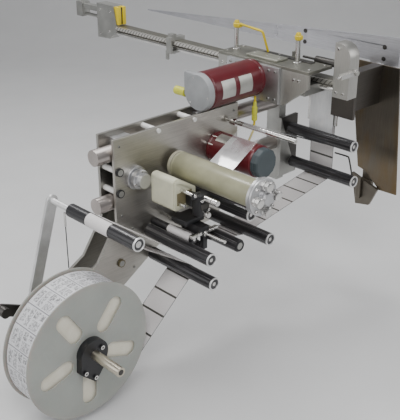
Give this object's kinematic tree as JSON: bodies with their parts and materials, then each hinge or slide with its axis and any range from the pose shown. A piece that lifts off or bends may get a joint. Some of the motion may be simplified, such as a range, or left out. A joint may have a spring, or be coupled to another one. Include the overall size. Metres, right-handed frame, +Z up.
{
  "type": "cross web labeler",
  "caption": "Labeling head for a packaging line: a rack-driven carriage under a bolted side frame holds plates with label reel, dancer, rollers, peel edge and liner drum",
  "frame": {"origin": "centre of the four frame bolts on the back face of the arm plate", "axes": "+X points out of the back of the arm plate towards the packaging line frame, +Y runs along the rack away from the viewer, +Z is up"},
  "size_m": [1.4689, 1.5, 0.933],
  "materials": {
    "steel_plate": "brushed",
    "dark_steel": "satin",
    "bright_steel": "polished",
    "aluminium": "satin",
    "red_paint": "gloss",
    "grey_paint": "satin",
    "cream_paint": "satin",
    "yellow": "gloss",
    "black_rubber": "satin",
    "black_metal": "satin",
    "grey_plastic": "gloss",
    "paper": "matte",
    "label_paper": "matte",
    "belt_rubber": "matte"
  },
  "bodies": {
    "frame": {"frame_arm_plate": "steel_plate", "side_panel": "steel_plate", "panel_spacers": "bright_steel", "cross_bracket": "dark_steel", "end_block": "steel_plate", "rack_beam": "steel_plate", "gear_rack": "bright_steel", "guide_shafts": "bright_steel", "far_end_block": "steel_plate", "end_bumper": "yellow", "stop_collar": "steel_plate", "lower_bracket": "bright_steel", "shock_absorber": "black_metal"},
    "clamp_lever": {"clamp_lever": "steel_plate"},
    "stop_latch": {"stop_latch": "dark_steel"},
    "carriage": {"carriage_side": "steel_plate", "carriage_plate": "aluminium", "bearing_blocks": "aluminium", "motor_flange": "aluminium", "traverse_motor": "red_paint", "traverse_motor_cap": "grey_paint", "edge_sensors": "bright_steel", "hanger_post": "aluminium", "support_bars": "bright_steel", "bar_clamps": "aluminium", "front_plate": "steel_plate", "rear_plate": "steel_plate", "tie_rods": "bright_steel", "roller_axles": "bright_steel", "rewind_motor": "red_paint", "rewind_motor_cap": "grey_paint", "rewind_belt": "belt_rubber", "actuator_hub": "bright_steel", "actuator_housing": "cream_paint", "actuator_yoke": "black_metal", "peel_plate": "bright_steel", "label_web": "label_paper", "dancer_web": "label_paper", "liner_web": "paper", "yellow_cables": "yellow"},
    "drive_pinion": {"drive_pinion": "bright_steel"},
    "dancer": {"dancer_arm": "aluminium"},
    "dancer_roller": {"dancer_roller": "black_rubber"},
    "reel": {"reel_shaft": "bright_steel", "reel_flanges": "grey_plastic", "label_roll": "label_paper", "hub_clamp": "black_metal"},
    "drum": {"rewind_drum": "cream_paint", "drum_spindle": "aluminium"},
    "rewind_pulley": {"rewind_pulley": "aluminium"},
    "label_sensor": {"label_sensor": "black_metal"},
    "infeed_roller": {"infeed_roller": "black_rubber"},
    "supply_roller": {"supply_roller": "black_rubber"},
    "first_guide_roller": {"first_guide_roller": "black_rubber"},
    "second_guide_roller": {"second_guide_roller": "black_rubber"},
    "third_guide_roller": {"third_guide_roller": "black_rubber"},
    "upper_peel_roller": {"upper_peel_roller": "black_rubber"},
    "lower_peel_roller": {"lower_peel_roller": "black_rubber"},
    "thin_roller": {"thin_roller": "bright_steel"},
    "nip_roller": {"nip_roller": "black_rubber"}
  },
  "joints": [
    {"name": "carriage_slide", "type": "slide", "parent": "frame", "child": "carriage", "axis": [0, 1, 0], "range_m": [-0.02, 0.3]},
    {"name": "drive_pinion_turn", "type": "hinge", "parent": "carriage", "child": "drive_pinion", "pos_m": [-0.356, 0.0715, -0.054], "axis": [1, 0, 0], "range_deg": [-96, 1433]},
    {"name": "clamp_lever_turn", "type": "hinge", "parent": "frame", "child": "clamp_lever", "pos_m": [-0.297, -0.2605, 0.006], "axis": [0, 1, 0], "range_deg": [0, 60]},
    {"name": "stop_latch_turn", "type": "hinge", "parent": "frame", "child": "stop_latch", "pos_m": [-0.311, 0.5885, -0.081], "axis": [1, 0, 0], "range_deg": [-20, 90]},
    {"name": "dancer_swing", "type": "hinge", "parent": "carriage", "child": "dancer", "pos_m": [-1.263, 0.1615, -0.624], "axis": [0, 1, 0], "range_deg": [-22, 6], "deforming": ["dancer_web"]},
    {"name": "dancer_roller_turn", "type": "hinge", "parent": "dancer", "child": "dancer_roller", "pos_m": [-1.157, -0.0825, -0.291], "axis": [0, 1, 0], "continuous": true},
    {"name": "reel_turn", "type": "hinge", "parent": "carriage", "child": "reel", "pos_m": [-1.263, -0.0705, -0.624], "axis": [0, 1, 0], "continuous": true},
    {"name": "drum_turn", "type": "hinge", "parent": "carriage", "child": "drum", "pos_m": [-0.774, -0.0965, -0.247], "axis": [0, 1, 0], "continuous": true},
    {"name": "rewind_pulley_turn", "type": "hinge", "parent": "carriage", "child": "rewind_pulley", "pos_m": [-0.581, 0.0835, -0.247], "axis": [0, 1, 0], "continuous": true},
    {"name": "label_sensor_slide", "type": "slide", "parent": "carriage", "child": "label_sensor", "axis": [0, 1, 0], "range_m": [-0.03, 0.008]},
    {"name": "infeed_roller_turn", "type": "hinge", "parent": "carriage", "child": "infeed_roller", "pos_m": [-0.8877, -0.0465, -0.4403], "axis": [0, 1, 0], "continuous": true},
    {"name": "supply_roller_turn", "type": "hinge", "parent": "carriage", "child": "supply_roller", "pos_m": [-0.8753, -0.0465, -0.5249], "axis": [0, 1, 0], "continuous": true},
    {"name": "first_guide_roller_turn", "type": "hinge", "parent": "carriage", "child": "first_guide_roller", "pos_m": [-0.7688, -0.0465, -0.437], "axis": [0, 1, 0], "continuous": true},
    {"name": "second_guide_roller_turn", "type": "hinge", "parent": "carriage", "child": "second_guide_roller", "pos_m": [-0.6294, -0.0465, -0.465], "axis": [0, 1, 0], "continuous": true},
    {"name": "third_guide_roller_turn", "type": "hinge", "parent": "carriage", "child": "third_guide_roller", "pos_m": [-0.721, -0.0465, -0.35], "axis": [0, 1, 0], "continuous": true},
    {"name": "upper_peel_roller_turn", "type": "hinge", "parent": "carriage", "child": "upper_peel_roller", "pos_m": [-0.22, -0.0465, -0.2676], "axis": [0, 1, 0], "continuous": true},
    {"name": "lower_peel_roller_turn", "type": "hinge", "parent": "carriage", "child": "lower_peel_roller", "pos_m": [-0.205, -0.0465, -0.3975], "axis": [0, 1, 0], "continuous": true},
    {"name": "thin_roller_turn", "type": "hinge", "parent": "carriage", "child": "thin_roller", "pos_m": [-0.531, -0.0465, -0.167], "axis": [0, 1, 0], "continuous": true},
    {"name": "nip_roller_turn", "type": "hinge", "parent": "carriage", "child": "nip_roller", "pos_m": [-0.86188, -0.0465, -0.41864], "axis": [0, 1, 0], "continuous": true}
  ],
  "couplings": [
    {"joint": "drive_pinion_turn", "follows": "carriage_slide", "rad_per_m": 83.333},
    {"joint": "nip_roller_turn", "follows": "infeed_roller_turn", "ratio": -1.6},
    {"joint": "rewind_pulley_turn", "follows": "drum_turn", "ratio": 1}
  ]
}
